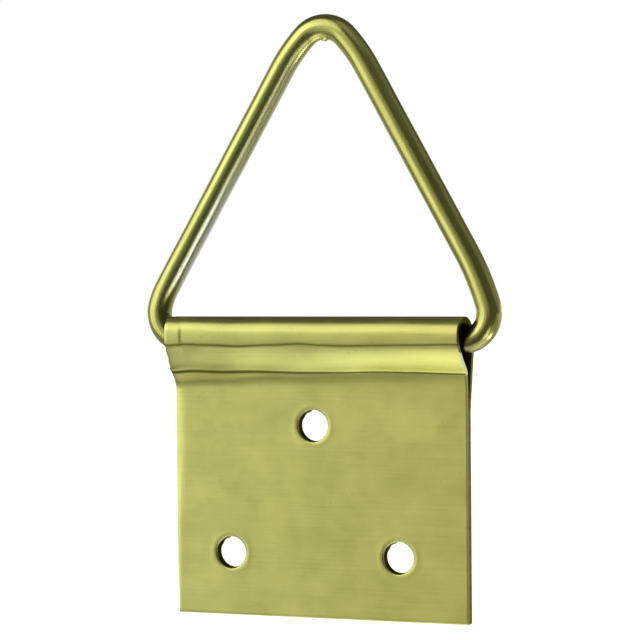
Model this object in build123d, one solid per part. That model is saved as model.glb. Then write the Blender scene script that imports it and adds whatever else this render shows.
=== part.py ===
"""Picture hanger: a triangular wire ring that swings in the knuckle of a folded sheet plate.

The origin is the top screw hole's centre on the back face. +Z points up to the ring's
apex, the front faces -Y, and the two leaves of the plate hang below the knuckle.
"""
import os
from math import atan2, cos, radians, sin, tan

from build123d import *

# Sheet of the plate, folded double over the ring
sheet = 0.48
leaf_gap = 0.04
plate_width = 25.0
plate_middle = 0.5
tail_length = 15.4
corner_round = 0.2

# Knuckle, seen from the side: crown on top, flat front wall, shoulder back to the leaves
crown_height = 8.75
crown_front_radius = 1.0
crown_back_radius = 2.0
knuckle_front = 3.14
knuckle_back = 0.92
back_foot_height = 1.3
back_shoulder_height = 6.2
back_bend_radius = 3.0
ridge_height = 6.55
valley_height = 4.28
fold_radius = 0.5

# Holes through both leaves
hole_diameter = 2.55
hole_rim_round = 0.1
lower_hole_spacing = 14.44
lower_hole_drop = 10.35

# Ring: round wire, its base leg loose in the knuckle
wire_diameter = 2.0
wire_back_clearance = 0.39
wire_height = 6.82
left_bend_inset = 0.77
right_bend_inset = 0.29
wire_end_gap = 0.3

# Each lower corner of the ring is a tight bend that eases into the leg
left_leg_angle = 59.3
left_bend_radius = 2.2
left_bend_turn = 104.0
left_ease_radius = 5.6
right_leg_angle = 60.8
right_bend_radius = 2.2
right_bend_turn = 107.3
right_ease_radius = 22.7

# The apex is a tight bend with an easing bend on either side
apex_radius = 2.37
apex_ease_radius = 13.0
apex_ease_turn = 14.0

# Places that follow from the sizes above
half_sheet = sheet / 2
plate_thickness = 2 * sheet + leaf_gap
shoulder_angle = atan2(knuckle_front - plate_thickness, ridge_height - valley_height)
wire_depth = knuckle_back - sheet - wire_back_clearance - wire_diameter / 2
left_reach = plate_width / 2 - left_bend_inset
right_reach = plate_width / 2 - right_bend_inset


def folded_line():
    """Middle of the sheet from the side, as (depth, height), from one free end to the other."""
    back = knuckle_back - half_sheet
    front = half_sheet - knuckle_front
    crown = crown_height - half_sheet
    front_radius = crown_front_radius - half_sheet
    back_radius = crown_back_radius - half_sheet
    fold_rise = half_sheet * tan(shoulder_angle / 2)
    back_leaf = FilletPolyline(
        (-half_sheet, -tail_length),
        (-half_sheet, back_foot_height),
        (back, back_shoulder_height),
        (back, crown - back_radius),
        radius=back_bend_radius,
    )
    back_turn = JernArc(back_leaf @ 1, (0, 1), back_radius, 90)
    crown_flat = Line(back_turn @ 1, (front + front_radius, crown))
    front_turn = JernArc(crown_flat @ 1, (-1, 0), front_radius, 90)
    front_leaf = FilletPolyline(
        front_turn @ 1,
        (front, ridge_height + fold_rise),
        (half_sheet - plate_thickness, valley_height + fold_rise),
        (half_sheet - plate_thickness, -tail_length),
        radius=fold_radius,
    )
    return Wire([*back_leaf.edges(), back_turn, crown_flat, front_turn, *front_leaf.edges()])


def sheet_section():
    """Outline of the folded sheet: both faces of the middle line, closed at the free ends."""
    outer = folded_line().offset_2d(half_sheet, side=Side.RIGHT, closed=False)
    inner = folded_line().offset_2d(half_sheet, side=Side.LEFT, closed=False)
    lower_ends = [
        Line((-side, -tail_length), (-side - sheet, -tail_length))
        for side in (0, plate_thickness - sheet)
    ]
    return make_face([*outer.edges(), *inner.edges(), *lower_ends])


def hole_places():
    """The holes' centres, as (across, height)."""
    half_row = lower_hole_spacing / 2
    return [(0, 0), (-half_row, -lower_hole_drop), (half_row, -lower_hole_drop)]


def hanger_plate():
    """One strip of sheet, folded over the ring and punched through both leaves."""
    plate = extrude(Plane.YZ * sheet_section(), plate_width)
    plate = Pos(plate_middle - plate_width / 2, 0, 0) * plate

    corners = plate.edges().filter_by(Axis.Y).group_by(Axis.Z)[0]
    plate = fillet(corners, corner_round)

    for across, height in hole_places():
        punch = Cylinder(hole_diameter / 2, 3 * plate_thickness)
        plate -= Pos(across, -plate_thickness / 2, height) * Rot(90, 0, 0) * punch

    rims = plate.edges().filter_by(GeomType.CIRCLE)
    rims = rims.filter_by(lambda edge: abs(edge.radius - hole_diameter / 2) < hole_rim_round / 10)
    return fillet(rims.group_by(Axis.Y)[0], hole_rim_round)


def corner_bends(reach, leg_angle, bend_radius, bend_turn, ease_radius):
    """Base leg's half and its corner, drawn to the right: straight, tight bend, easing bend."""
    straight = Line((wire_end_gap / 2, 0), (reach, 0))
    bend = JernArc(straight @ 1, straight % 1, bend_radius, bend_turn)
    ease = JernArc(bend @ 1, bend % 1, ease_radius, 180 - leg_angle - bend_turn)
    return Curve([straight, bend, ease])


def apex_bends():
    """The top bend from the right leg to the left one: easing, tight, easing."""
    right_slope = (-cos(radians(right_leg_angle)), sin(radians(right_leg_angle)))
    tight_turn = left_leg_angle + right_leg_angle - 2 * apex_ease_turn
    into = JernArc((0, 0), right_slope, apex_ease_radius, apex_ease_turn)
    top = JernArc(into @ 1, into % 1, apex_radius, tight_turn)
    out = JernArc(top @ 1, top % 1, apex_ease_radius, apex_ease_turn)
    return Curve([into, top, out])


def length_along(first, second, span):
    """Length along the first of two directions that, with some of the second, makes the span."""
    return (span.X * second.Y - span.Y * second.X) / (first.X * second.Y - first.Y * second.X)


def ring_line():
    """The wire's middle line as (across, height) from the base leg's axis, end to end."""
    right = corner_bends(
        right_reach, right_leg_angle, right_bend_radius, right_bend_turn, right_ease_radius
    )
    left = mirror(
        corner_bends(
            left_reach, left_leg_angle, left_bend_radius, left_bend_turn, left_ease_radius
        ),
        about=Plane.YZ,
    )
    apex = apex_bends()
    right_foot, left_foot = right.edges()[-1] @ 1, left.edges()[-1] @ 1
    up, down = apex.edges()[0] % 0, apex.edges()[-1] % 1
    apex_span = apex.edges()[-1] @ 1 - apex.edges()[0] @ 0
    right_leg = length_along(up, down, left_foot - right_foot - apex_span)
    apex = Pos(right_foot + up * right_leg) * apex
    legs = [
        Line(right_foot, apex.edges()[0] @ 0),
        Line(apex.edges()[-1] @ 1, left_foot),
    ]
    return Wire([*right.edges(), *apex.edges(), *legs, *left.edges()])


def triangle_ring():
    """One round wire bent to a triangle, its butted ends hidden inside the knuckle."""
    ring_plane = Plane((plate_middle, wire_depth, wire_height), x_dir=(1, 0, 0), z_dir=(0, -1, 0))
    path = ring_plane * ring_line()
    start = Plane(path @ 0, z_dir=path % 0)
    return sweep(start * Circle(wire_diameter / 2), path)


os.makedirs("parts", exist_ok=True)
for name, solid in (("hanger_plate", hanger_plate()), ("triangle_ring", triangle_ring())):
    export_step(solid, f"parts/{name}.step")
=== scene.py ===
"""Picture hanger in brass plate: a folded sheet and a triangular wire ring.

Meshes are drawn in millimetres in the CAD frame (origin at the top hole, front -Y, up +Z)
and scaled to metres once, when each object is made.
"""
from math import atan2, cos, hypot, pi, radians, sin

import bpy
from mathutils import Matrix, Vector


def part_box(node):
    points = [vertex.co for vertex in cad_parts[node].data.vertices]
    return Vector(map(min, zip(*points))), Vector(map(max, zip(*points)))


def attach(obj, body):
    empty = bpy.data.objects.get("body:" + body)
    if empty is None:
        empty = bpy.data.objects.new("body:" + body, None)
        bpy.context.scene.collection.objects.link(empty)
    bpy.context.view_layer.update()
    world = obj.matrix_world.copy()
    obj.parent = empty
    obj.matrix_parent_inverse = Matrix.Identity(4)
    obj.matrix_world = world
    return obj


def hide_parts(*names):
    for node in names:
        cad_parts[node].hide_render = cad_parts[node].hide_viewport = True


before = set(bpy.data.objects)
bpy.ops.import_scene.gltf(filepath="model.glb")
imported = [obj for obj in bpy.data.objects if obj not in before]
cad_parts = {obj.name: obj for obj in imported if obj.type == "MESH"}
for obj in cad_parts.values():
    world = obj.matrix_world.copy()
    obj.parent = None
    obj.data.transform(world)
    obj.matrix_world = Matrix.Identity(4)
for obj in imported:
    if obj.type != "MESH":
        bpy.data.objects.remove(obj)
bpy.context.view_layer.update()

MM = 0.001
IMAGE_WIDTH = 640

# Sheet of the plate
LEFT, RIGHT = (corner.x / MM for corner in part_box("hanger_plate"))
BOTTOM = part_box("hanger_plate")[0].z / MM
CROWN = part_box("hanger_plate")[1].z / MM
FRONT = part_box("hanger_plate")[0].y / MM
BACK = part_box("hanger_plate")[1].y / MM
SHEET = 0.48
LEAF_GAP = 0.04
HALF = SHEET / 2
THICKNESS = 2 * SHEET + LEAF_GAP

# Knuckle from the side
CROWN_FRONT_RADIUS = 1.0
CROWN_BACK_RADIUS = 2.0
RIDGE = 6.55
VALLEY = 4.28
WALL_LEAN = 5.0
FOOT = 1.3
SHOULDER_BACK = 6.2
BULGE_EASE = 0.45
FRONT_TOP = VALLEY - 1.85
SETTLE_REACH = 0.6

# How far the middle line's creases stand above those of the outer face
FOLD_RISE = 0.08

# Creases: how far each bend reaches up and down the sheet, and the groove cut along it
CREASE_ABOVE = 0.42
CREASE_BELOW = 0.18
GROOVE = 0.035
GROOVE_MIDDLE = 0.68
GROOVE_FLATNESS = 1.5

# Depth of the upper and the lower groove, which also sets their painted shade, and their reach as
# a share of the bend
RIDGE_GROOVE = (0.75, 0.23)
VALLEY_GROOVE = (1.0, 0.34)

# How many points draw each stretch of the knuckle, back to front
BACK_POINTS = 16
TOP_POINTS = 4
ROLL_POINTS = 18
WALL_POINTS = 14
CREASE_POINTS = 18
SLANT_POINTS = 18
BAND_POINTS = 6
SETTLE_POINTS = 14

# Which of those points the bands of painted shade beside the lower crease start, turn and end at
SLANT_UNSHADED = 7
SLANT_FADE = 10
VALLEY_TURN = 12
SETTLE_FADE = 8

# Painted light on the cut edge at its outer and inner corner: -1 painted shade, 0 plain, 1 painted
# highlight
CROWN_EDGE_LIGHT = (-0.9, -0.9)
ROLL_EDGE_LIGHT = (0.0, -0.9)
WALL_EDGE_LIGHT = (0.85, -0.6)
RIDGE_EDGE_LIGHT = (0.9, 0.4)
SLANT_EDGE_LIGHT = (1.0, 0.9)
VALLEY_EDGE_LIGHT = (1.0, 1.0)
BAND_EDGE_LIGHT = (0.5, 0.3)
LEAF_EDGE_LIGHT = (0.45, 0.25)
HOLE_EDGE_LIGHT = (-1.0, -1.0)

# Holes
HOLE_RADIUS = 1.275
HOLE_ROW = 7.22
HOLE_DROP = 10.35
HOLE_BLOCK = 2.0
SQUARE_RINGS = 3
FRONT_RIM_ROLL = 0.15
BACK_RIM_ROLL = 0.06
RIM_STEPS = (1.9, 1.75, 1.65, 1.58, 1.5, 1.44)
RIM_ANGLES = (0, 15, 30, 45, 60, 75, 90)
RIM_SWELL = [(1.43, 0.0), (1.58, 0.012), (1.85, 0.0)]

# Tabs that the punch tore: middle and half width in degrees, depth, and their teeth
TEAR_MIDDLE = 128
TEAR_HALF_WIDTH = 34
TEAR_DEPTH = 0.1
TOOTH_SHARE = 0.45
TOOTH_RATE = 9.5
TOOTH_START = 1.0

# Mesh lines of the sheet: in from a cut edge, from one line to the next, round the crimp
EDGE_STEPS = (0.0, 0.02, 0.06, 0.12, 0.2, 0.32, 0.5)
MESH_STEP = 0.25
CRIMP_STEPS = (-0.2, -0.1, 0.02, 0.1, 0.2)

# Faces that meet at more than this many degrees show a sharp edge
SHARP_ANGLE = 38

# Cut edges: how deep the face falls away there, and from how far in
RIGHT_ROLL = (0.015, 0.05)
LEFT_ROLL = (0.02, 0.15)
LEFT_WORN_ROLL = (0.09, 0.9)
BOTTOM_ROLL = (0.06, 0.25)
ROLL_POWER = 2.4

# Ring
WIRE_RADIUS = 1.0
WIRE_DEPTH = -0.95
WIRE_HEIGHT = 6.82
PLATE_MIDDLE = 0.5
APEX_RADIUS = 2.37
APEX_EASE_RADIUS = 13.0
APEX_EASE_TURN = 14.0
END_GAP = 0.3
LEFT_CORNER = {"reach": 11.73, "angle": 59.3, "bend": 2.2, "turn": 104.0, "ease": 5.6}
RIGHT_CORNER = {"reach": 12.21, "angle": 60.8, "bend": 2.2, "turn": 107.3, "ease": 22.7}

# How many points draw each stretch of the wire, and how many stand round it
BASE_POINTS = 40
BEND_POINTS = 40
EASE_POINTS = 24
LEG_POINTS = 110
APEX_EASE_POINTS = 16
APEX_POINTS = 60
WIRE_SIDES = 56

# Nub under the apex: height, reach, turn from straight inside, and where it ends round the wire
NUB_HEIGHT = 0.17
NUB_REACH = 0.75
NUB_TURN = 0.15
NUB_EDGE = 0.75

# Where the wire gets painted shade, painted glints and painted shade on its right foot: (place,
# share), across or up from the base leg
LEFT_LEG_ACROSS = [(-3.1, 1.0), (-0.6, 0.0)]
LEFT_LEG_UP = [(3.0, 0.0), (6.0, 1.0)]
LEFT_CORNER_UP = [(1.7, 1.0), (4.2, 0.0)]
GLINT_UP = [(10.0, 1.0), (16.0, 0.3)]
FOOT_ACROSS = [(12.7, 1.0), (14.1, 0.0)]
FOOT_UP = [(0.6, 1.0), (2.0, 0.0)]
CORNERS_FROM = 8

# The same round the wire: the middle, from straight in front, and the reach in radians
LEG_SHADE = (-0.02, 0.3)
CORNER_SHADE = (-1.1, 1.1)
GLINT_SIDE = (-1.25, 1.05)
SIDE_FLATNESS = 1.6

# Unevenness of the drawn wire: its height, and the rate and start of its waves along the wire
UNEVENNESS = 0.006
SHORT_WAVE = 0.9
LONG_WAVE = 0.23
LONG_WAVE_START = 1.3


def smooth(t):
    """Eases from 0 to 1 as t goes from 0 to 1."""
    t = min(max(t, 0.0), 1.0)
    return t * t * (3 - 2 * t)


def mix(a, b, t):
    """Goes from a to b as t goes from 0 to 1."""
    return a + (b - a) * t


def wave(x, knots):
    """Smooth curve through given (place, value) knots."""
    if x <= knots[0][0]:
        return knots[0][1]
    for (x0, v0), (x1, v1) in zip(knots, knots[1:]):
        if x <= x1:
            return mix(v0, v1, smooth((x - x0) / (x1 - x0)))
    return knots[-1][1]


# How the pressing wanders along the knuckle: (across, rise, depth or height) in millimetres
RIDGE_WANDER = [(-12, -0.13), (-10.3, -0.02), (-7.7, -0.07), (-5.8, -0.13), (-2.7, -0.02),
                (-0.3, 0.06), (1.8, -0.04), (3.3, -0.08), (6.1, -0.03), (8.4, 0.0), (13, 0.06)]
VALLEY_WANDER = [(-12, 0.02), (-10.2, 0.15), (-7.7, 0.08), (-5.0, 0.12), (-1, 0.04),
                 (2.5, 0.06), (6, 0.15), (8.5, 0.12), (13, 0.02)]
ROLL_WANDER = [(-12, 0.12), (-10.8, 0.2), (-10.5, 0.12), (-6.5, 0.27), (-3, 0.25), (2, 0.35),
               (8, 0.3), (13, 0.4)]
FRONT_WANDER = [(-12, -0.025), (-10.8, -0.025), (-10.5, 0.01), (-6, 0.0), (13, 0.0)]
SLANT_DEPTH = [(-12, -2.25), (-8, -2.2), (-3, -2.42), (3, -2.6), (13, -2.7)]
SLANT_HEIGHT = [(-12, 4.95), (-8, 5.1), (-3, 5.35), (3, 5.5), (13, 5.65)]
VALLEY_DEPTH = [(-12, -1.9), (-8, -1.7), (-3, -1.45), (5, -1.3), (13, -1.15)]
SETTLE_HEIGHT = [(-12, 3.4), (-8, 3.45), (-4, 3.6), (0, 3.5), (13, 3.5)]

# The crimp's place, its depth across, and how much painted shade darkens the bands beside the
# lower crease
CRIMP = -10.6
CRIMP_MARK = [(CRIMP - 0.2, 0.0), (CRIMP, 0.2), (CRIMP + 0.2, 0.0)]
SHADE_ABOVE_VALLEY = [(-12, 2.4), (-7, 2.8), (-4, 2.6), (0, 1.2), (5, 0.1), (13, 0.0)]
SHADE_BELOW_VALLEY = [(-12, 3.4), (-7, 3.2), (-4, 2.0), (0, 1.2), (13, 0.9)]

# Up the left edge, as (height, value): how far it leans in, and how worn it is; and how far
# across the plate the lean reaches
LEFT_LEAN = [(BOTTOM, 0.15), (BOTTOM + 5, 0.03), (-4, 0.0), (4.1, 0.0), (4.45, -0.09),
             (4.75, -0.02), (5.1, -0.05), (5.4, 0.03), (5.8, -0.03), (6.2, 0.02), (6.5, 0.0)]
LEFT_WEAR = [(BOTTOM, 0.0), (-9, 0.35), (-2, 1.0), (2, 0.9), (3.4, 0.3), (7, 0.1)]
LEAN_REACH = 2.0


def arc_points(centre, radius, start, end, count):
    """Points on an arc from one angle to the other in degrees, without the first."""
    steps = [mix(start, end, (k + 1) / count) for k in range(count)]
    return [(centre[0] + radius * cos(radians(a)), centre[1] + radius * sin(radians(a)))
            for a in steps]


def line_points(start, end, count):
    """Points on a line, without the first."""
    return [(mix(start[0], end[0], (k + 1) / count), mix(start[1], end[1], (k + 1) / count))
            for k in range(count)]


def reached(corner, towards, reach):
    """A point a short way from a corner towards another point."""
    return tuple(Vector(corner) + (Vector(towards) - Vector(corner)).normalized() * reach)


def bent_line(start, pull, end, count):
    """Points on a curve pulled towards a point between its ends, without the first."""
    steps = [(k + 1) / count for k in range(count)]
    return [tuple(mix(mix(start[n], pull[n], t), mix(pull[n], end[n], t), t) for n in (0, 1))
            for t in steps]


def bulge(z):
    """How far the back leaf stands behind its own tail at a height."""
    lean = BACK / (SHOULDER_BACK - FOOT)
    rise = lean * (eased(z - FOOT + BULGE_EASE) - eased(z - SHOULDER_BACK + BULGE_EASE))
    return min(rise, BACK)


def eased(way):
    """A way that starts softly, over twice the ease, and then runs on even."""
    if way < 2 * BULGE_EASE:
        return max(0.0, way) ** 2 / (4 * BULGE_EASE)
    return way - BULGE_EASE


def groove(level, reach):
    """How deep a crease is cut at each of its points, and how much painted shade darkens it."""
    places = [(k + 1) / CREASE_POINTS for k in range(CREASE_POINTS)]
    falls = [max(0.0, 1 - abs(place - GROOVE_MIDDLE) / reach) for place in places]
    return [level * min(1.0, GROOVE_FLATNESS * fall) for fall in falls]


def crimp_mark(x):
    """How deep the mark near the knuckle's left end is at each point down the front wall, which
    also sets its painted shade.
    """
    places = [(k + 0.5) / WALL_POINTS for k in range(WALL_POINTS)]
    return [wave(x, CRIMP_MARK) * sin(pi * place ** 3) for place in places]


def knuckle_line(x):
    """Middle of the sheet over the knuckle at one place, back to front, with what marks it.

    Each entry is depth, height, crease (the groove's depth and its painted shade), the painted
    shade beside the lower crease, and the cut edge's painted light outside and inside.
    """
    back = BACK - HALF
    top = CROWN - HALF
    front = FRONT + HALF + wave(x, FRONT_WANDER)
    back_radius = CROWN_BACK_RADIUS - HALF
    back_centre = (back - back_radius, top - back_radius)
    roll = CROWN_FRONT_RADIUS - HALF + wave(x, ROLL_WANDER)
    ridge = RIDGE + FOLD_RISE + wave(x, RIDGE_WANDER)
    slant = (wave(x, SLANT_DEPTH) + HALF, wave(x, SLANT_HEIGHT) + HALF / 2)
    valley = (wave(x, VALLEY_DEPTH) + HALF, VALLEY + FOLD_RISE + wave(x, VALLEY_WANDER))
    settle = (HALF - THICKNESS, wave(x, SETTLE_HEIGHT))
    tail = (settle[0], FRONT_TOP)
    lean = radians(WALL_LEAN)
    wall_top = top - roll + roll * sin(lean)
    wall_foot = ridge + CREASE_ABOVE * cos(lean)
    wall_radius = (wall_top - wall_foot) / (2 * sin(lean))
    wall_centre = (front + wall_radius, (wall_top + wall_foot) / 2)
    roll_depth = front + wall_radius * (1 - cos(lean)) + roll * cos(lean)
    # Painted shade above and below the lower crease
    above, below = wave(x, SHADE_ABOVE_VALLEY), wave(x, SHADE_BELOW_VALLEY)
    line = []

    def add(points, edge_light, creases=(), valley_shade=()):
        for k, (y, z) in enumerate(points):
            crease = creases[k] if creases else 0.0
            line.append((y, z, crease, valley_shade[k] if valley_shade else 0.0, edge_light))
        return line[-1][:2]

    end = add(arc_points(back_centre, back_radius, 0, 90, BACK_POINTS), CROWN_EDGE_LIGHT)
    add(line_points(end, (roll_depth, top), TOP_POINTS), CROWN_EDGE_LIGHT)
    add(arc_points((roll_depth, top - roll), roll, 90, 180 - WALL_LEAN, ROLL_POINTS), ROLL_EDGE_LIGHT)
    end = add(arc_points(wall_centre, wall_radius, 180 - WALL_LEAN, 180 + WALL_LEAN, WALL_POINTS),
              WALL_EDGE_LIGHT, crimp_mark(x))
    corner = (end[0] + CREASE_ABOVE * sin(lean), ridge)
    end = add(bent_line(end, corner, reached(corner, slant, CREASE_BELOW), CREASE_POINTS),
              RIDGE_EDGE_LIGHT, groove(*RIDGE_GROOVE))
    start = reached(valley, slant, CREASE_ABOVE)
    add(bent_line(end, slant, start, SLANT_POINTS), SLANT_EDGE_LIGHT, (),
        [above * smooth((k - SLANT_UNSHADED) / SLANT_FADE) for k in range(SLANT_POINTS)])
    end = add(bent_line(start, valley, reached(valley, settle, CREASE_BELOW), CREASE_POINTS),
              VALLEY_EDGE_LIGHT, groove(*VALLEY_GROOVE),
              [above if k < VALLEY_TURN else below for k in range(CREASE_POINTS)])
    end = add(line_points(end, reached(settle, valley, SETTLE_REACH), BAND_POINTS), BAND_EDGE_LIGHT, (),
              [below] * BAND_POINTS)
    add(bent_line(end, settle, reached(settle, tail, SETTLE_REACH), SETTLE_POINTS), LEAF_EDGE_LIGHT, (),
        [below * smooth(1 - k / SETTLE_FADE) for k in range(SETTLE_POINTS)])
    return line


def fold_faces(line):
    """Outer and inner faces of the sheet either side of its middle line."""
    outer, inner = [], []
    for k, (y, z, crease, _, _) in enumerate(line):
        y0, z0 = line[max(k - 1, 0)][:2]
        y1, z1 = line[min(k + 1, len(line) - 1)][:2]
        length = hypot(y1 - y0, z1 - z0)
        ny, nz = (z1 - z0) / length, -(y1 - y0) / length
        proud = HALF - GROOVE * crease
        outer.append((y + ny * proud, z + nz * proud))
        inner.append((y - ny * HALF, z - nz * HALF))
    return outer, inner


def spread(breaks, step):
    """Values from the first break to the last that meet every break, about a step apart."""
    values = [breaks[0]]
    for a, b in zip(breaks, breaks[1:]):
        count = max(1, round(abs(b - a) / step))
        values += [mix(a, b, (k + 1) / count) for k in range(count)]
    return values


def across_lines():
    """Where the sheet's mesh lines stand, across the plate."""
    blocks = [c + side * HOLE_BLOCK for c in (-HOLE_ROW, 0, HOLE_ROW) for side in (-1, 1)]
    lines = spread([LEFT + EDGE_STEPS[-1], *blocks, RIGHT - EDGE_STEPS[-1]], MESH_STEP)
    lines += [LEFT + step for step in EDGE_STEPS[:-1]]
    lines += [RIGHT - step for step in EDGE_STEPS[:-1]]
    return sorted(lines + [CRIMP + step for step in CRIMP_STEPS])


def lean_in(x, z):
    """Where a mesh line stands at a height: the left edge was sheared slightly off square."""
    share = max(0.0, 1 - (x - LEFT) / LEAN_REACH)
    return x + share * wave(z, LEFT_LEAN)


def leaf_heights(top):
    """Where a leaf's mesh lines stand, from its free end up."""
    blocks = [-HOLE_DROP - HOLE_BLOCK, -HOLE_DROP + HOLE_BLOCK, -HOLE_BLOCK, HOLE_BLOCK]
    low = [BOTTOM + step for step in EDGE_STEPS[:-1]]
    return low + spread([BOTTOM + EDGE_STEPS[-1], *blocks, top], MESH_STEP)


def edge_roll(x, z):
    """How far a face falls away at the cut edges; the left one is worn wider up high."""
    wear_and_glint = wave(z, LEFT_WEAR)
    left = [mix(sharp, soft, wear_and_glint) for sharp, soft in zip(LEFT_ROLL, LEFT_WORN_ROLL)]
    return (side_fall(RIGHT - x, *RIGHT_ROLL) + side_fall(x - LEFT, *left)
            + side_fall(z - BOTTOM, *BOTTOM_ROLL))


def side_fall(distance, depth, reach):
    """How far a face falls away at a distance in from one cut edge."""
    return depth * (1 - min(distance / reach, 1)) ** ROLL_POWER


def leaf_depths(x, z, front):
    """Depth of a leaf's outer and inner face."""
    if front:
        return -THICKNESS + edge_roll(x, z), -THICKNESS + SHEET
    return bulge(z) - edge_roll(x, z), bulge(z) - SHEET


class Shell:
    """The two faces of a sheet, grown together and closed at every free edge."""

    def __init__(self):
        self.verts = []
        self.faces = []
        self.cuts = []
        self.marks = []

    def point(self, outer, inner, crease=0.0, valley_shade=0.0, edge_light=(0.0, 0.0)):
        """A place on the sheet: one vertex on each face. Returns the pair's number."""
        self.verts += [(lean_in(x, z), y, z) for x, y, z in (outer, inner)]
        self.marks += [(crease, valley_shade, edge_light[0]), (0.0, 0.0, edge_light[1])]
        return len(self.verts) // 2 - 1

    def quad(self, a, b, c, d):
        """Spans four places on both faces."""
        self.faces.append((2 * a, 2 * b, 2 * c, 2 * d))
        self.faces.append((2 * d + 1, 2 * c + 1, 2 * b + 1, 2 * a + 1))

    def cut(self, a, b):
        """Closes the free edge from a to b, with the sheet on its left from outside."""
        self.cuts.append((2 * b, 2 * a, 2 * a + 1, 2 * b + 1))


def in_block(x0, x1, z0, z1):
    """The hole whose block holds a cell."""
    x, z = (x0 + x1) / 2, (z0 + z1) / 2
    for hx, hz in ((0, 0), (-HOLE_ROW, -HOLE_DROP), (HOLE_ROW, -HOLE_DROP)):
        if abs(x - hx) < HOLE_BLOCK and abs(z - hz) < HOLE_BLOCK:
            return hx, hz
    return None


def hole_rings(shell, loop, hole, front):
    """Fills a block between its square border and the punched hole."""
    hx, hz = hole
    previous = loop
    border = [(shell.verts[2 * n][0] - hx, shell.verts[2 * n][2] - hz) for n in loop]
    angles = [atan2(z, x) for x, z in border]
    roll = FRONT_RIM_ROLL if front else BACK_RIM_ROLL
    rings = [(r, 0.0) for r in RIM_STEPS if r > HOLE_RADIUS + roll]
    first_rim = len(rings)
    rings += [(HOLE_RADIUS + roll * (1 - sin(radians(a))), roll * (1 - cos(radians(a))))
              for a in RIM_ANGLES]
    for k, (radius, sink) in enumerate(rings):
        share = min((k + 1) / SQUARE_RINGS, 1)
        ring = []
        for (bx, bz), angle in zip(border, angles):
            r = mix(hypot(bx, bz), radius, share) if share < 1 else radius
            tear = 0.0 if front or k < first_rim else torn_tab(angle)
            x, z = hx + (r - tear) * cos(angle), hz + (r - tear) * sin(angle)
            outer, inner = leaf_depths(x, z, front)
            outer += sink - wave(r, RIM_SWELL) if front else -sink
            inner_r = max(r, HOLE_RADIUS) - tear
            xi, zi = hx + inner_r * cos(angle), hz + inner_r * sin(angle)
            ring.append(shell.point((x, outer, z), (xi, inner, zi), edge_light=HOLE_EDGE_LIGHT))
        for n in range(len(ring)):
            m = (n + 1) % len(ring)
            corners = (previous[n], ring[n], ring[m], previous[m])
            shell.quad(*(corners if front else reversed(corners)))
        previous = ring
    for n in range(len(previous)):
        m = (n + 1) % len(previous)
        a, b = (previous[n], previous[m]) if front else (previous[m], previous[n])
        shell.cuts.append((2 * a, 2 * a + 1, 2 * b + 1, 2 * b))


def torn_tab(angle):
    """Small torn tabs that the punch left in the upper left of the back leaf's holes."""
    place = (angle - radians(TEAR_MIDDLE)) / radians(TEAR_HALF_WIDTH)
    if abs(place) > 1:
        return 0.0
    teeth = 1 - TOOTH_SHARE + TOOTH_SHARE * sin(TOOTH_RATE * angle + TOOTH_START)
    return TEAR_DEPTH * (1 - place * place) * teeth


def plate_rows(x, back_heights, front_heights):
    """One column of the sheet from its back end over the knuckle to its front end."""
    rows = []
    for z in back_heights:
        outer, inner = leaf_depths(x, z, False)
        rows.append(((x, outer, z), (x, inner, z)))
    line = knuckle_line(x)
    ends = [(BACK - HALF, back_heights[-1], 0, 0, 0), (HALF - THICKNESS, FRONT_TOP, 0, 0, 0)]
    outer, inner = fold_faces([ends[0], *line, ends[1]])
    for k, (_, _, crease, valley_shade, edge_light) in enumerate(line):
        (oy, oz), (iy, iz) = outer[k + 1], inner[k + 1]
        fall = edge_roll(x, oz) / SHEET
        face = (x, mix(oy, iy, fall), mix(oz, iz, fall))
        rows.append((face, (x, iy, iz), crease, valley_shade, edge_light))
    for z in front_heights:
        outer, inner = leaf_depths(x, z, True)
        rows.append(((x, outer, z), (x, inner, z), 0.0, 0.0, LEAF_EDGE_LIGHT))
    return rows


def plate_shell():
    """The folded sheet: back leaf up, over the knuckle, front leaf down."""
    shell = Shell()
    columns = across_lines()
    back_heights = leaf_heights(CROWN - CROWN_BACK_RADIUS)
    front_heights = list(reversed(leaf_heights(FRONT_TOP)))
    grid = {}
    for i, x in enumerate(columns):
        rows = plate_rows(x, back_heights, front_heights)
        for j, row in enumerate(rows):
            grid[i, j] = shell.point(*row)
    count = len(rows)
    blocks = {}
    first_front = count - len(front_heights)
    for i in range(len(columns) - 1):
        for j in range(count - 1):
            hole = None
            front = j >= first_front
            if front:
                k = j - first_front
                hole = in_block(columns[i], columns[i + 1], front_heights[k], front_heights[k + 1])
            elif j + 1 < len(back_heights):
                hole = in_block(columns[i], columns[i + 1], back_heights[j], back_heights[j + 1])
            if hole:
                blocks.setdefault((hole, front), []).append((i, j))
            else:
                shell.quad(grid[i, j], grid[i, j + 1], grid[i + 1, j + 1], grid[i + 1, j])
    for (hole, front), cells in blocks.items():
        fill_block(shell, grid, cells, hole, front)
    close_border(shell, grid, len(columns), count)
    return shell


def fill_block(shell, grid, cells, hole, front):
    """Fills a hole's block of cells, from the places round its border."""
    i0, i1 = min(c[0] for c in cells), max(c[0] for c in cells) + 1
    j0, j1 = min(c[1] for c in cells), max(c[1] for c in cells) + 1
    loop = [grid[i, j0] for i in range(i0, i1)]
    loop += [grid[i1, j] for j in range(j0, j1)]
    loop += [grid[i, j1] for i in range(i1, i0, -1)]
    loop += [grid[i0, j] for j in range(j1, j0, -1)]
    if front:
        loop.reverse()
    hole_rings(shell, loop, hole, front)


def close_border(shell, grid, columns, rows):
    """Closes the sheet's cut ends and sides."""
    last_i, last_j = columns - 1, rows - 1
    for j in range(last_j):
        shell.cut(grid[0, j + 1], grid[0, j])
        shell.cut(grid[last_i, j], grid[last_i, j + 1])
    for i in range(last_i):
        shell.cut(grid[i, 0], grid[i + 1, 0])
        shell.cut(grid[i + 1, last_j], grid[i, last_j])


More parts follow.
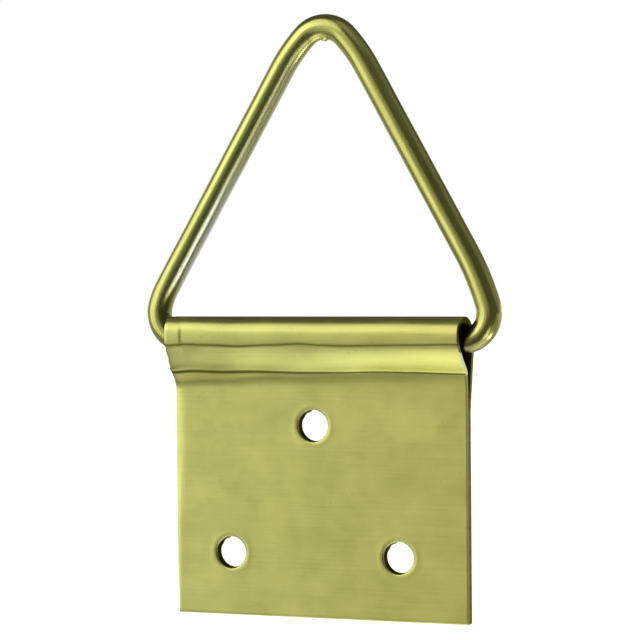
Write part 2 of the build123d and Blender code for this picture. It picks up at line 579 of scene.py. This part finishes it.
def mesh_object(name, verts, faces, materials, indices=None):
    """Makes an object from places in millimetres."""
    mesh = bpy.data.meshes.new(name)
    mesh.from_pydata([tuple(c * MM for c in v) for v in verts], [], faces)
    for material in materials:
        mesh.materials.append(material)
    if indices:
        mesh.polygons.foreach_set("material_index", indices)
    mesh.polygons.foreach_set("use_smooth", [True] * len(mesh.polygons))
    mesh.set_sharp_from_angle(angle=radians(SHARP_ANGLE))
    mesh.update()
    obj = bpy.data.objects.new(name, mesh)
    bpy.context.scene.collection.objects.link(obj)
    return obj


def add_values(obj, name, values):
    """Gives each point of a mesh a value that its material can read."""
    made = obj.data.attributes.new(name, "FLOAT", "POINT")
    made.data.foreach_set("value", values)


def plate_object(*materials):
    """The folded plate, with one material on its faces and one on its cut edges."""
    shell = plate_shell()
    indices = [0] * len(shell.faces) + [1] * len(shell.cuts)
    faces = shell.faces + shell.cuts
    obj = mesh_object("folded_plate", shell.verts, faces, materials, indices)
    for name, values in zip(("crease", "valley_shade", "edge_light"), zip(*shell.marks)):
        add_values(obj, name, values)
    return obj


def bend_on(run, heading, radius, turn, count):
    """Carries a run of points on round a bend to the left. Returns the new heading in degrees."""
    a = radians(heading)
    centre = (run[-1][0] - sin(a) * radius, run[-1][1] + cos(a) * radius)
    run += arc_points(centre, radius, heading - 90, heading - 90 + turn, count)
    return heading + turn


def corner_run(corner):
    """Half the base leg, the tight bend and the easing bend, drawn to the right."""
    start = (END_GAP / 2, 0.0)
    run = [start, *line_points(start, (corner["reach"], 0.0), BASE_POINTS)]
    heading = bend_on(run, 0, corner["bend"], corner["turn"], BEND_POINTS)
    bend_on(run, heading, corner["ease"], 180 - corner["angle"] - heading, EASE_POINTS)
    return run


def wire_path():
    """The wire's middle from end to end, in the ring's own plane."""
    right = corner_run(RIGHT_CORNER)
    left = [(-u, v) for u, v in corner_run(LEFT_CORNER)]
    up = 180 - RIGHT_CORNER["angle"]
    tight = RIGHT_CORNER["angle"] + LEFT_CORNER["angle"] - 2 * APEX_EASE_TURN
    apex = [(0.0, 0.0)]
    heading = bend_on(apex, up, APEX_EASE_RADIUS, APEX_EASE_TURN, APEX_EASE_POINTS)
    heading = bend_on(apex, heading, APEX_RADIUS, tight, APEX_POINTS)
    down = bend_on(apex, heading, APEX_EASE_RADIUS, APEX_EASE_TURN, APEX_EASE_POINTS)
    first = Vector((cos(radians(up)), sin(radians(up))))
    second = Vector((cos(radians(down)), sin(radians(down))))
    span = Vector(left[-1]) - Vector(right[-1]) - Vector(apex[-1])
    leg = (span.x * second.y - span.y * second.x) / (first.x * second.y - first.y * second.x)
    shift = Vector(right[-1]) + first * leg
    apex = [(u + shift.x, v + shift.y) for u, v in apex]
    run = right + line_points(right[-1], apex[0], LEG_POINTS)[:-1] + apex
    return run + line_points(apex[-1], left[-1], LEG_POINTS)[:-1] + list(reversed(left))


def ring_object(material):
    """The wire as a tube of rings, with the small nub under its apex."""
    run = wire_path()
    top = max(run, key=lambda place: place[1])
    verts, marks = [], []
    length = 0.0
    for k, (u, v) in enumerate(run):
        u0, v0 = run[max(k - 1, 0)]
        u1, v1 = run[min(k + 1, len(run) - 1)]
        tangent = Vector((u1 - u0, v1 - v0)).normalized()
        normal = Vector((tangent.y, -tangent.x))
        length += hypot(u - u0, v - v0)
        from_top = hypot(u - top[0], v - top[1])
        on_leg, in_corner, glint, mouth_shade = wire_painted_light(u, v)
        for s in range(WIRE_SIDES):
            angle = 2 * pi * s / WIRE_SIDES
            radius = WIRE_RADIUS + wire_mark(length, angle) + apex_nub(from_top, angle)
            out = radius * sin(angle)
            verts.append((PLATE_MIDDLE + u + normal.x * out, WIRE_DEPTH - radius * cos(angle),
                          WIRE_HEIGHT + v + normal.y * out))
            # Painted shade down the left leg and in its corner
            wire_shade = on_leg * near_angle(angle, *LEG_SHADE)
            wire_shade += in_corner * near_angle(angle, *CORNER_SHADE)
            # Painted glint on the left leg
            wear_and_glint = glint * near_angle(angle, *GLINT_SIDE)
            marks.append((cos(angle), sin(angle), length, wire_shade, wear_and_glint, mouth_shade))
    obj = mesh_object("wire_ring", verts, tube_faces(len(run)), [material])
    names = ("grain_x", "grain_y", "grain_z", "wire_shade", "wear_and_glint", "mouth_shade")
    for name, values in zip(names, zip(*marks)):
        add_values(obj, name, values)
    return obj


def tube_faces(rings):
    """Faces of a tube of rings, closed at both ends."""
    faces = []
    for k in range(rings - 1):
        for s in range(WIRE_SIDES):
            t = (s + 1) % WIRE_SIDES
            a, b = k * WIRE_SIDES, (k + 1) * WIRE_SIDES
            faces.append((a + s, b + s, b + t, a + t))
    last = (rings - 1) * WIRE_SIDES
    faces.append(tuple(range(WIRE_SIDES)))
    faces.append(tuple(last + s for s in reversed(range(WIRE_SIDES))))
    return faces


def wire_painted_light(u, v):
    """How much painted shade the left leg and corner get, how much painted glint the leg, and how
    much painted shade the right foot gets in the knuckle's mouth.
    """
    on_leg = wave(u, LEFT_LEG_ACROSS) * wave(v, LEFT_LEG_UP)
    in_corner = wave(v, LEFT_CORNER_UP) if u < -CORNERS_FROM else 0.0
    # Painted shade where the right foot enters the knuckle's mouth
    mouth_shade = wave(u, FOOT_ACROSS) * wave(v, FOOT_UP) if u > CORNERS_FROM else 0.0
    return on_leg, in_corner, on_leg * wave(v, GLINT_UP), mouth_shade


def near_angle(angle, middle, reach):
    """1 at a place round the wire, falling to 0 at a reach from it in radians."""
    off = abs((angle - middle + pi) % (2 * pi) - pi)
    return smooth(SIDE_FLATNESS * (1 - off / reach))


def apex_nub(from_top, angle):
    """The little lump on the inside of the top bend."""
    inside = cos(angle + pi / 2 + NUB_TURN)
    edge = smooth((inside - NUB_EDGE) / (1 - NUB_EDGE))
    return NUB_HEIGHT * smooth(1 - from_top / NUB_REACH) * edge


def wire_mark(length, angle):
    """Hair-fine unevenness of drawn and bent wire: a short wave that swells with a long one."""
    short = sin(length * SHORT_WAVE + 2 * angle)
    swell = sin(length * LONG_WAVE + angle + LONG_WAVE_START)
    return UNEVENNESS * short * swell


def new_material(name):
    """A material, its nodes and its shader."""
    material = bpy.data.materials.new(name)
    material.use_nodes = True
    tree = material.node_tree
    return material, tree, tree.nodes["Principled BSDF"]


def srgb(*screen):
    """A colour given as it looks on screen, 0 to 255, as scene light."""
    return tuple(((c / 255 + 0.055) / 1.055) ** 2.4 for c in screen)


def feed(tree, socket, value):
    """Sets a socket to a number or a colour, or links another node's output to it."""
    if isinstance(value, tuple):
        socket.default_value = (*value, 1)
    elif isinstance(value, (int, float)):
        socket.default_value = value
    else:
        tree.links.new(value, socket)


def noise(tree, vector, scale, detail, roughness):
    """A cloudy pattern, mostly from 0.3 to 0.7."""
    made = tree.nodes.new("ShaderNodeTexNoise")
    made.inputs["Scale"].default_value = scale
    made.inputs["Detail"].default_value = detail
    made.inputs["Roughness"].default_value = roughness
    tree.links.new(vector, made.inputs["Vector"])
    return made.outputs["Fac"]


def object_place(tree):
    """The place on the object, in metres."""
    return tree.nodes.new("ShaderNodeTexCoord").outputs["Object"]


def axes_of(tree, vector):
    """The X, Y and Z of a place."""
    made = tree.nodes.new("ShaderNodeSeparateXYZ")
    tree.links.new(vector, made.inputs[0])
    return made.outputs


def stretched(tree, vector, scale):
    """A place with each of its axes scaled."""
    made = tree.nodes.new("ShaderNodeMapping")
    made.inputs["Scale"].default_value = scale
    tree.links.new(vector, made.inputs["Vector"])
    return made.outputs["Vector"]


# Where the mix node keeps its factor, its two colours and its colour result
MIX_INPUTS = (0, 6, 7)
MIX_RESULT = 2


def blend_colour(tree, factor, first, second):
    """Goes from the first colour to the second as the factor goes from 0 to 1."""
    made = tree.nodes.new("ShaderNodeMix")
    made.data_type = "RGBA"
    for number, value in zip(MIX_INPUTS, (factor, first, second)):
        feed(tree, made.inputs[number], value)
    return made.outputs[MIX_RESULT]


def calc(tree, kind, first, second=0.0):
    """One step of arithmetic on numbers or sockets."""
    made = tree.nodes.new("ShaderNodeMath")
    made.operation = kind
    for socket, value in zip(made.inputs, (first, second)):
        feed(tree, socket, value)
    return made.outputs[0]


def map_range(tree, value, low, high, at_low, at_high, kind="LINEAR"):
    """Goes from at_low to at_high as a value goes from low to high."""
    made = tree.nodes.new("ShaderNodeMapRange")
    made.interpolation_type = kind
    made.inputs["From Min"].default_value = low
    made.inputs["From Max"].default_value = high
    made.inputs["To Min"].default_value = at_low
    made.inputs["To Max"].default_value = at_high
    tree.links.new(value, made.inputs["Value"])
    return made.outputs["Result"]


def attribute(tree, name):
    """A value that the mesh carries."""
    made = tree.nodes.new("ShaderNodeAttribute")
    made.attribute_name = name
    return made.outputs["Fac"]


def tint(tree, tone, colour, pattern, low, high, at_low, at_high):
    """Mixes a colour in: as much as at_low where the pattern is low, at_high where it is high."""
    share = map_range(tree, pattern, low, high, at_low, at_high)
    return blend_colour(tree, share, tone, colour)


def mark(tree, tone, colour, name, share):
    """Mixes a colour in as much as the share of a value that the mesh carries."""
    share = calc(tree, "MULTIPLY", attribute(tree, name), share)
    return blend_colour(tree, share, tone, colour)


def bump(tree, shader, height, strength, distance):
    """Roughens a shader's surface by a pattern."""
    made = tree.nodes.new("ShaderNodeBump")
    made.inputs["Strength"].default_value = strength
    made.inputs["Distance"].default_value = distance
    tree.links.new(height, made.inputs["Height"])
    tree.links.new(made.outputs["Normal"], shader.inputs["Normal"])


# Sheet: its two ends, then rolling lines, mottling, specks, blotches, painted shade beside the
# lower crease, painted shade in the creases
BRASS_LEFT = srgb(174, 178, 103)
BRASS_RIGHT = srgb(185, 182, 100)
ROLLED = srgb(150, 150, 74)
MOTTLED = srgb(198, 194, 112)
SPECK = srgb(96, 92, 36)
BLOTCH_DULL = srgb(150, 154, 80)
BLOTCH_BRIGHT = srgb(206, 204, 118)
PAINTED_VALLEY_SHADE = srgb(140, 138, 70)
CREASE_SHADE = srgb(58, 58, 22)
ROLLING = (120, 900, 5200)
CLOUD_SCALE = 420.0
SPECK_SCALE = 3000.0
BLOTCH_SCALE = 170.0
BLOTCH_SQUASH = (1, 1, 1.6)

# Cut edge: dragged metal, then its painted shade, painted half-lit tone and painted highlight
CUT_LOW = srgb(108, 106, 62)
CUT_HIGH = srgb(138, 132, 84)
CUT_SHADE = srgb(46, 43, 18)
CUT_HALF_LIT = srgb(176, 168, 112)
CUT_HIGHLIGHT = srgb(250, 250, 228)
CUT_TINT = (0.55, 0.52, 0.36, 1)
CUT_DRAG = (2600, 500, 2600)

# Wire: drawn streaks, flecks, painted shade down the side, painted glint speckle, painted shade on
# the foot in the knuckle's mouth
WIRE_LOW = srgb(160, 160, 84)
WIRE_HIGH = srgb(190, 189, 108)
WIRE_FLECK = srgb(120, 116, 66)
WIRE_SHADE = srgb(112, 124, 68)
WIRE_GLINT = srgb(238, 238, 222)
WIRE_MOUTH_SHADE = srgb(106, 94, 58)
STREAKS = (7, 7, 0.16)
FLECKS = (16, 16, 3.5)
PITS = (14, 14, 9)


def sheet_material():
    """Bright brass plating over rolled sheet: faint rolling lines, soft mottling, painted shade in
    the creases and beside them.
    """
    material, tree, shader = new_material("brass_sheet")
    place = object_place(tree)
    across = map_range(tree, axes_of(tree, place)["X"], LEFT * MM, RIGHT * MM, 0, 1)
    tone = blend_colour(tree, across, BRASS_LEFT, BRASS_RIGHT)
    lines = noise(tree, stretched(tree, place, ROLLING), 1.0, 4.0, 0.65)
    cloud = noise(tree, place, CLOUD_SCALE, 4.0, 0.6)
    blotch = noise(tree, stretched(tree, place, BLOTCH_SQUASH), BLOTCH_SCALE, 2.0, 0.5)
    specks = noise(tree, place, SPECK_SCALE, 0.0, 0.5)
    tone = tint(tree, tone, ROLLED, lines, 0.35, 0.65, 0.0, 0.24)
    tone = tint(tree, tone, MOTTLED, cloud, 0.35, 0.7, 0.0, 0.5)
    tone = tint(tree, tone, SPECK, specks, 0.76, 0.84, 0.0, 0.14)
    tone = tint(tree, tone, BLOTCH_DULL, blotch, 0.36, 0.5, 0.2, 0.0)
    tone = tint(tree, tone, BLOTCH_BRIGHT, blotch, 0.55, 0.68, 0.0, 0.22)
    # Painted shade beside the lower crease
    tone = mark(tree, tone, PAINTED_VALLEY_SHADE, "valley_shade", 0.28)
    # Painted shade in the creases and the crimp mark
    tone = mark(tree, tone, CREASE_SHADE, "crease", 0.85)
    tree.links.new(tone, shader.inputs["Base Color"])
    tree.links.new(map_range(tree, cloud, 0.3, 0.7, 0.27, 0.36), shader.inputs["Roughness"])
    shader.inputs["Metallic"].default_value = 1.0
    height = calc(tree, "ADD", lines, calc(tree, "MULTIPLY", cloud, 0.6))
    bump(tree, shader, height, 0.25, 0.00002)
    return material


def cut_material():
    """Cut edge of the sheet: duller and darker, dragged across its thickness, with painted shade
    and painted highlights.
    """
    material, tree, shader = new_material("brass_cut_edge")
    drag = noise(tree, stretched(tree, object_place(tree), CUT_DRAG), 1.0, 3.0, 0.6)
    edge_light = attribute(tree, "edge_light")
    tone = tint(tree, CUT_LOW, CUT_HIGH, drag, 0.35, 0.65, 0, 1)
    # Painted shade, a painted half-lit tone and painted highlights, set by the edge's value
    tone = tint(tree, tone, CUT_SHADE, edge_light, -1.0, 0.0, 1, 0)
    tone = tint(tree, tone, CUT_HALF_LIT, edge_light, 0.1, 0.4, 0, 1)
    bright = calc(tree, "POWER", calc(tree, "MAXIMUM", edge_light, 0.0), 4.0)
    tree.links.new(blend_colour(tree, bright, tone, CUT_HIGHLIGHT), shader.inputs["Base Color"])
    tree.links.new(map_range(tree, bright, 0.0, 1.0, 0.42, 0.14), shader.inputs["Roughness"])
    shader.inputs["Metallic"].default_value = 1.0
    shader.inputs["Specular Tint"].default_value = CUT_TINT
    bump(tree, shader, drag, 0.15, 0.00003)
    return material


def wire_material():
    """Brass-plated drawn wire: long fine streaks and flecks, with painted shade and a speckled
    painted glint on the left leg, and painted shade on the foot in the knuckle's mouth.
    """
    material, tree, shader = new_material("brass_wire")
    made = tree.nodes.new("ShaderNodeCombineXYZ")
    for socket, name in zip(made.inputs, ("grain_x", "grain_y", "grain_z")):
        tree.links.new(attribute(tree, name), socket)
    grain = made.outputs[0]
    streaks = noise(tree, stretched(tree, grain, STREAKS), 1.0, 4.0, 0.6)
    flecks = noise(tree, stretched(tree, grain, FLECKS), 1.0, 3.0, 0.6)
    pits = noise(tree, stretched(tree, grain, PITS), 1.0, 1.0, 0.5)
    tone = tint(tree, WIRE_LOW, WIRE_HIGH, streaks, 0.35, 0.68, 0, 1)
    tone = tint(tree, tone, WIRE_FLECK, flecks, 0.6, 0.75, 0, 0.45)
    # Painted shade on the left leg and corner
    tone = mark(tree, tone, WIRE_SHADE, "wire_shade", 0.85)
    # Painted glint speckle on the left leg
    tone = mark(tree, tone, WIRE_GLINT, "wear_and_glint", map_range(tree, pits, 0.42, 0.6, 0.4, 1.0))
    # Painted shade on the foot in the knuckle's mouth
    tone = mark(tree, tone, WIRE_MOUTH_SHADE, "mouth_shade", 0.9)
    tree.links.new(tone, shader.inputs["Base Color"])
    tree.links.new(map_range(tree, flecks, 0.35, 0.7, 0.16, 0.28), shader.inputs["Roughness"])
    shader.inputs["Metallic"].default_value = 1.0
    height = calc(tree, "ADD", streaks, calc(tree, "MULTIPLY", flecks, 0.5))
    bump(tree, shader, height, 0.26, 0.00004)
    return material


# The camera stands to the right of the plate and looks almost level
CAMERA_PLACE = Vector((79.989, -196.085, 13.258)) * MM
CAMERA_YAW = radians(22.113)
CAMERA_PITCH = radians(-1.305)
CAMERA_ROLL = radians(-0.475)
FOCAL_PIXELS = 2642.4
SENSOR_WIDTH = 36
SIGHT_RANGE = (0.01, 10)


def add_camera():
    """The photograph's camera."""
    data = bpy.data.cameras.new("camera")
    data.sensor_width = SENSOR_WIDTH
    data.lens = FOCAL_PIXELS / IMAGE_WIDTH * SENSOR_WIDTH
    data.clip_start, data.clip_end = SIGHT_RANGE
    level = Vector((cos(CAMERA_YAW), sin(CAMERA_YAW), 0))
    ahead = Vector((-sin(CAMERA_YAW), cos(CAMERA_YAW), 0))
    forward = cos(CAMERA_PITCH) * ahead + Vector((0, 0, sin(CAMERA_PITCH)))
    rise = level.cross(forward)
    right = cos(CAMERA_ROLL) * level + sin(CAMERA_ROLL) * rise
    up = -sin(CAMERA_ROLL) * level + cos(CAMERA_ROLL) * rise
    turn = Matrix((right, up, -forward)).transposed().to_4x4()
    camera = bpy.data.objects.new("camera", data)
    camera.matrix_world = Matrix.Translation(CAMERA_PLACE) @ turn
    bpy.context.scene.collection.objects.link(camera)
    bpy.context.scene.camera = camera


# Floor, in millimetres
FLOOR_DROP = 45.0
FLOOR_FRONT = -56.0
FLOOR_BACK = 3000
FLOOR_SIDE = 1500
FLOOR_WHITE = (0.8, 0.8, 0.8, 1)
FLOOR_ROUGHNESS = 0.9

# How the floor glows to the camera, and its tint and far level in the metal
FLOOR_GLOW = 0.75
FLOOR_TINT = (0.96, 1.0, 1.1)
FAR_FLOOR = (70.0, 200.0)
FAR_LEVEL = 0.4

# Bright patches of the floor in the metal: place, reach, fade and level
UNDER_SPOT = ((-2.0, 6.0), 79.0, 1.3, 2.95)
RIGHT_SPOT = ((64.0, -46.0), 17.0, 0.8, 4.6)


def ray_kinds(tree):
    """Whether a ray shows a thing itself to the camera, and whether it mirrors it."""
    path = tree.nodes.new("ShaderNodeLightPath").outputs
    seen = calc(tree, "MAXIMUM", path["Is Camera Ray"], path["Is Transmission Ray"])
    return seen, path["Is Glossy Ray"]


def floor_spot(tree, axes, place, reach, fade, level):
    """A patch of floor that shines in the metal: brightest at its place, none past its reach."""
    across = calc(tree, "SUBTRACT", axes["X"], place[0] * MM)
    deep = calc(tree, "SUBTRACT", axes["Y"], place[1] * MM)
    squares = [calc(tree, "MULTIPLY", way, way) for way in (across, deep)]
    away = calc(tree, "SQRT", calc(tree, "ADD", *squares))
    near = map_range(tree, away, 0.0, reach * MM, 1.0, 0.0)
    return calc(tree, "MULTIPLY", calc(tree, "POWER", near, fade), level)


def add_floor():
    """Plain white floor below the hanging plate, running far back."""
    material, tree, shader = new_material("floor_white")
    shader.inputs["Base Color"].default_value = FLOOR_WHITE
    shader.inputs["Roughness"].default_value = FLOOR_ROUGHNESS
    shader.inputs["Specular IOR Level"].default_value = 0.0
    seen, mirrored = ray_kinds(tree)
    axes = axes_of(tree, object_place(tree))
    behind = map_range(tree, axes["Y"], *(way * MM for way in FAR_FLOOR), 0.0, FAR_LEVEL)
    shining = calc(tree, "ADD", floor_spot(tree, axes, *UNDER_SPOT), behind)
    shining = calc(tree, "ADD", shining, floor_spot(tree, axes, *RIGHT_SPOT))
    level = calc(tree, "ADD", calc(tree, "MULTIPLY", seen, FLOOR_GLOW),
                 calc(tree, "MULTIPLY", mirrored, shining))
    glow = tree.nodes.new("ShaderNodeEmission")
    tree.links.new(level, glow.inputs["Strength"])
    tree.links.new(blend_colour(tree, seen, FLOOR_TINT, (1.0, 1.0, 1.0)), glow.inputs["Color"])
    add = tree.nodes.new("ShaderNodeAddShader")
    tree.links.new(shader.outputs[0], add.inputs[0])
    tree.links.new(glow.outputs[0], add.inputs[1])
    tree.links.new(add.outputs[0], tree.nodes["Material Output"].inputs["Surface"])
    z = BOTTOM - FLOOR_DROP
    corners = [(-FLOOR_SIDE, FLOOR_FRONT, z), (FLOOR_SIDE, FLOOR_FRONT, z),
               (FLOOR_SIDE, FLOOR_BACK, z), (-FLOOR_SIDE, FLOOR_BACK, z)]
    mesh_object("floor", corners, [(0, 1, 2, 3)], [material])


def lobe(tree, direction, azimuth, elevation, inner, outer, strength):
    """A soft round light in the sky: full within inner degrees of its middle, none past outer."""
    a, e = radians(azimuth), radians(elevation)
    facing = tree.nodes.new("ShaderNodeVectorMath")
    facing.operation = "DOT_PRODUCT"
    tree.links.new(direction, facing.inputs[0])
    facing.inputs[1].default_value = (sin(a) * cos(e), -cos(a) * cos(e), sin(e))
    return map_range(tree, facing.outputs["Value"], cos(radians(outer)), cos(radians(inner)),
                     0.0, strength, "SMOOTHSTEP")


# Soft lights round the object: azimuth from straight in front to the right, elevation,
# full and outer half width in degrees, strength
SKY = (
    ("left", -58, 10, 16, 36, 1.75),
    ("front_left", -25, -3, 8, 22, 0.5),
    ("front_low", -34, -26, 8, 30, 0.56),
    ("front_top", -32, 34, 18, 34, 1.5),
    ("right_front", 2, 6, 4, 16, 0.3),
    ("right_rim", 110, 36, 10, 34, 0.15),
    ("right_low", 44, -36, 4, 12, 1.6),
    ("right_top", 45, 64, 8, 26, 0.4),
    ("right_back", 158, -3, 7, 15, 1.8),
    ("back_right", 132, 4, 10, 28, 0.3),
    ("back_middle", 178, 4, 4, 19, 0.45),
    ("back_left", 238, 8, 10, 30, 0.5),
)
SKY_BASE = 0.12


def add_world():
    """White to the camera; to the metal, a dim sky with soft lights in it."""
    world = bpy.data.worlds.new("studio")
    bpy.context.scene.world = world
    world.use_nodes = True
    tree = world.node_tree
    background = tree.nodes["Background"]
    background.inputs["Color"].default_value = (1, 1, 1, 1)
    direction = tree.nodes.new("ShaderNodeTexCoord").outputs["Generated"]
    total = SKY_BASE
    for _, *light in SKY:
        total = calc(tree, "ADD", lobe(tree, direction, *light), total)
    seen, _ = ray_kinds(tree)
    unseen = calc(tree, "SUBTRACT", 1.0, seen)
    level = calc(tree, "ADD", calc(tree, "MULTIPLY", total, unseen), seen)
    tree.links.new(level, background.inputs["Strength"])


# The lamp behind the spark in the ring's right corner, in metres and watts
SPARK_PLACE = (0.062, 0.006, -0.048)
SPARK_TARGET = (0.012, 0.0, 0.006)
SPARK_SIZE = 0.014
SPARK_POWER = 0.008


def add_lamp(name, place, target, size, power):
    """A round lamp that shines towards its target."""
    data = bpy.data.lights.new(name, "AREA")
    data.shape = "DISK"
    data.size = size
    data.energy = power
    lamp = bpy.data.objects.new(name, data)
    turn = (Vector(target) - Vector(place)).to_track_quat("-Z", "Y").to_matrix().to_4x4()
    lamp.matrix_world = Matrix.Translation(place) @ turn
    bpy.context.scene.collection.objects.link(lamp)


scene = bpy.context.scene
scene.view_settings.view_transform = "Standard"

add_camera()
add_world()
add_floor()
add_lamp("spark", SPARK_PLACE, SPARK_TARGET, SPARK_SIZE, SPARK_POWER)

plate = plate_object(sheet_material(), cut_material())
ring = ring_object(wire_material())
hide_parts("hanger_plate")
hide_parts("triangle_ring")
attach(plate, "plate")
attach(ring, "ring")
